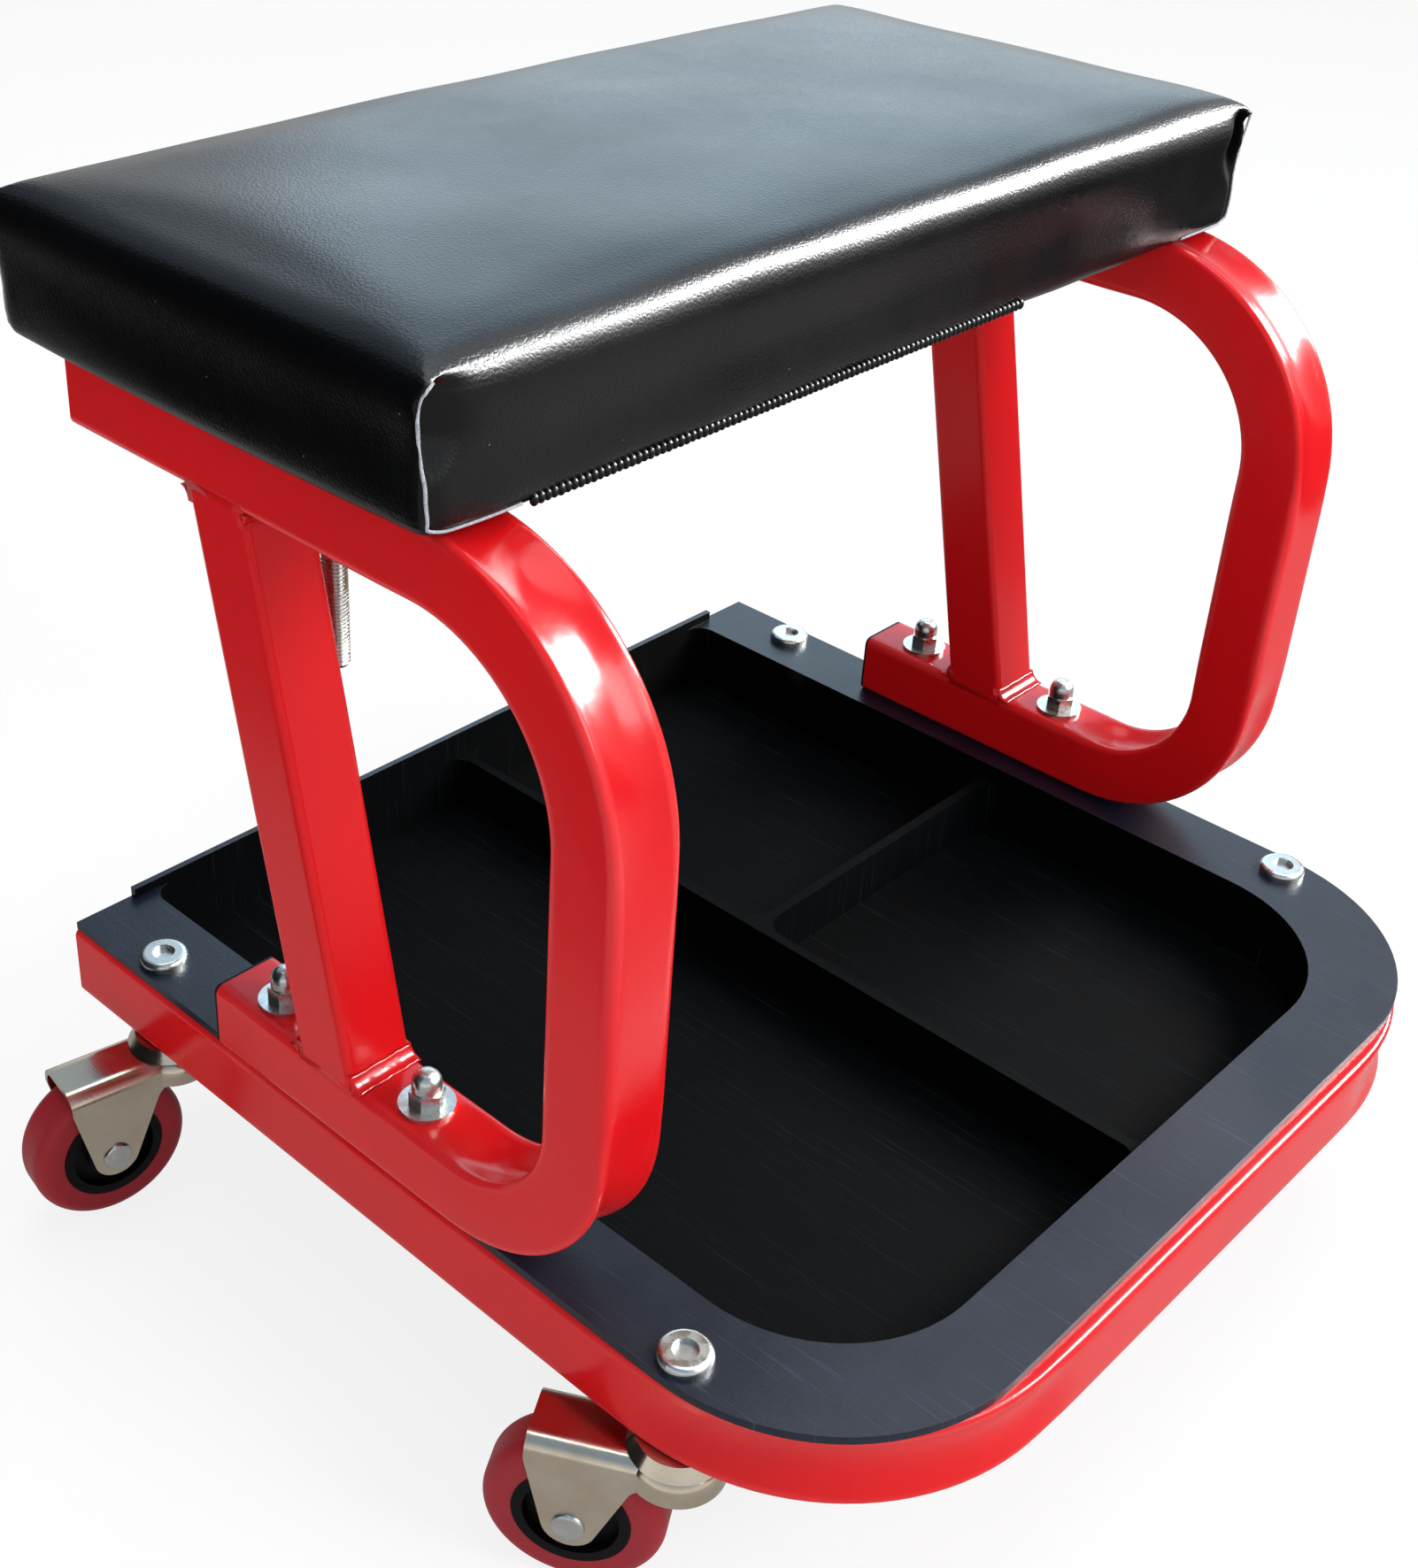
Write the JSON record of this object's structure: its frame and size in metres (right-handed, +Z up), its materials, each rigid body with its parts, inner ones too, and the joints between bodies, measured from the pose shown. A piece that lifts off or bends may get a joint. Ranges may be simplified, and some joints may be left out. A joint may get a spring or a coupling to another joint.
{
  "type": "rolling mechanic seat",
  "caption": "Low rolling workshop seat: padded black seat on bent red tube legs over a U-shaped base frame that holds a divided tool tray and runs on swivel castors.",
  "frame": {"origin": "on the floor, below the middle of the base frame", "axes": "+X to the right, +Y to the rear where the frame is open, +Z up"},
  "size_m": [0.4578, 0.361, 0.377],
  "materials": {
    "red_powder_coat": "gloss powder coat",
    "tray_plastic": "matte moulded",
    "black_plastic": "matte moulded",
    "zinc_steel": "zinc plated",
    "pressed_steel": "bright plated, pressed",
    "hub_plastic": "moulded",
    "tyre_polyurethane": "satin moulded",
    "black_vinyl": "satin, fine grain",
    "seat_foam": "open cell foam",
    "plywood": "raw plywood"
  },
  "bodies": {
    "chassis": {"base_frame": "red_powder_coat", "base_end_plugs": "black_plastic", "tool_tray": "tray_plastic", "leg_tube_left": "red_powder_coat", "leg_tube_right": "red_powder_coat", "leg_strut_left": "red_powder_coat", "leg_strut_right": "red_powder_coat", "leg_end_caps": "black_plastic", "leg_bolts": "zinc_steel", "leg_washers": "zinc_steel", "leg_dome_nuts": "zinc_steel", "castor_bolts": "zinc_steel", "castor_nuts": "zinc_steel", "seat_board": "plywood", "seat_foam": "seat_foam", "seat_cover": "black_vinyl", "cover_staples": "zinc_steel", "seat_inserts": "zinc_steel", "seat_bolts": "zinc_steel", "seat_washers": "zinc_steel", "hanging_stud": "zinc_steel", "stud_washer": "zinc_steel", "stud_nut": "zinc_steel", "castor_race_front_left": "pressed_steel", "castor_kingpin_front_left": "zinc_steel", "castor_race_front_right": "pressed_steel", "castor_kingpin_front_right": "zinc_steel", "castor_race_rear_left": "pressed_steel", "castor_kingpin_rear_left": "zinc_steel", "castor_race_rear_right": "pressed_steel", "castor_kingpin_rear_right": "zinc_steel"},
    "swivel_front_left": {"castor_fork_front_left": "pressed_steel", "castor_balls_front_left": "zinc_steel", "axle_front_left": "zinc_steel", "axle_bush_front_left": "zinc_steel"},
    "wheel_front_left": {"wheel_hub_front_left": "hub_plastic", "wheel_tyre_front_left": "tyre_polyurethane"},
    "swivel_front_right": {"castor_fork_front_right": "pressed_steel", "castor_balls_front_right": "zinc_steel", "axle_front_right": "zinc_steel", "axle_bush_front_right": "zinc_steel"},
    "wheel_front_right": {"wheel_hub_front_right": "hub_plastic", "wheel_tyre_front_right": "tyre_polyurethane"},
    "swivel_rear_left": {"castor_fork_rear_left": "pressed_steel", "castor_balls_rear_left": "zinc_steel", "axle_rear_left": "zinc_steel", "axle_bush_rear_left": "zinc_steel"},
    "wheel_rear_left": {"wheel_hub_rear_left": "hub_plastic", "wheel_tyre_rear_left": "tyre_polyurethane"},
    "swivel_rear_right": {"castor_fork_rear_right": "pressed_steel", "castor_balls_rear_right": "zinc_steel", "axle_rear_right": "zinc_steel", "axle_bush_rear_right": "zinc_steel"},
    "wheel_rear_right": {"wheel_hub_rear_right": "hub_plastic", "wheel_tyre_rear_right": "tyre_polyurethane"}
  },
  "joints": [
    {"name": "swivel_front_left", "type": "hinge", "parent": "chassis", "child": "swivel_front_left", "pos_m": [-0.1715, -0.1055, 0.0625], "axis": [0, 0, 1], "continuous": true},
    {"name": "roll_front_left", "type": "hinge", "parent": "swivel_front_left", "child": "wheel_front_left", "pos_m": [-0.186, -0.08039, 0.0285], "axis": [-0.866, -0.5, 0], "continuous": true},
    {"name": "swivel_front_right", "type": "hinge", "parent": "chassis", "child": "swivel_front_right", "pos_m": [0.1715, -0.1055, 0.0625], "axis": [0, 0, 1], "continuous": true},
    {"name": "roll_front_right", "type": "hinge", "parent": "swivel_front_right", "child": "wheel_front_right", "pos_m": [0.186, -0.08039, 0.0285], "axis": [-0.866, 0.5, 0], "continuous": true},
    {"name": "swivel_rear_left", "type": "hinge", "parent": "chassis", "child": "swivel_rear_left", "pos_m": [-0.1715, 0.1415, 0.0625], "axis": [0, 0, 1], "continuous": true},
    {"name": "roll_rear_left", "type": "hinge", "parent": "swivel_rear_left", "child": "wheel_rear_left", "pos_m": [-0.20006, 0.14654, 0.0285], "axis": [-0.1736, -0.9848, 0], "continuous": true},
    {"name": "swivel_rear_right", "type": "hinge", "parent": "chassis", "child": "swivel_rear_right", "pos_m": [0.1715, 0.1415, 0.0625], "axis": [0, 0, 1], "continuous": true},
    {"name": "roll_rear_right", "type": "hinge", "parent": "swivel_rear_right", "child": "wheel_rear_right", "pos_m": [0.20006, 0.14654, 0.0285], "axis": [-0.1736, 0.9848, 0], "continuous": true}
  ]
}
